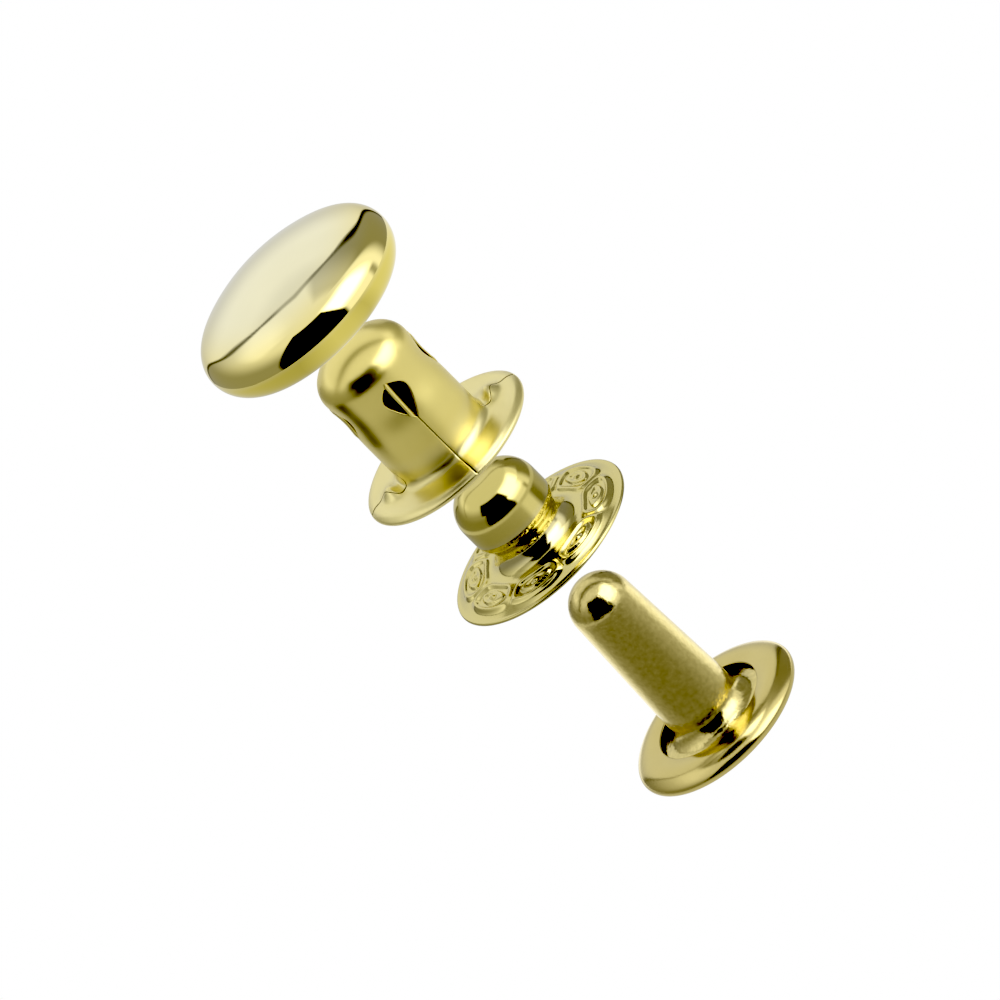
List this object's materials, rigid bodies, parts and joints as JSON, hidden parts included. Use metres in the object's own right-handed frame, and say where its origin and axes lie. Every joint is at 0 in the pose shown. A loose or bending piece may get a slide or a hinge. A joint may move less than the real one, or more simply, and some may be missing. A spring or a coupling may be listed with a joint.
{
  "type": "press stud set",
  "caption": "Brass press stud for leather, drawn apart on one axis: domed cap, slotted socket, stud with an embossed flange, and post with a rolled base.",
  "frame": {"origin": "centre of the post base's flat underside", "axes": "+Z along the common axis, from the post's base through the stud and socket to the cap; front of the socket's first slit at -Y"},
  "size_m": [0.0126, 0.0126, 0.0384],
  "materials": {
    "post_brass": "polished, faintly mottled along the stem",
    "stud_brass": "polished, embossed",
    "socket_brass": "satin, as pressed",
    "cap_brass": "mirror polished"
  },
  "bodies": {
    "post": {"post_base": "post_brass", "post_stem": "post_brass"},
    "stud": {"stud": "stud_brass"},
    "socket": {"socket": "socket_brass"},
    "cap": {"cap_shell": "cap_brass", "cap_collar": "cap_brass"}
  },
  "joints": [
    {"name": "stud_seat", "type": "slide", "parent": "post", "child": "stud", "axis": [0, 0, -1], "range_m": [0, 0.0084]},
    {"name": "socket_snap", "type": "slide", "parent": "stud", "child": "socket", "axis": [0, 0, -1], "range_m": [0, 0.0073]},
    {"name": "cap_seat", "type": "slide", "parent": "socket", "child": "cap", "axis": [0, 0, -1], "range_m": [0, 0.005]}
  ]
}
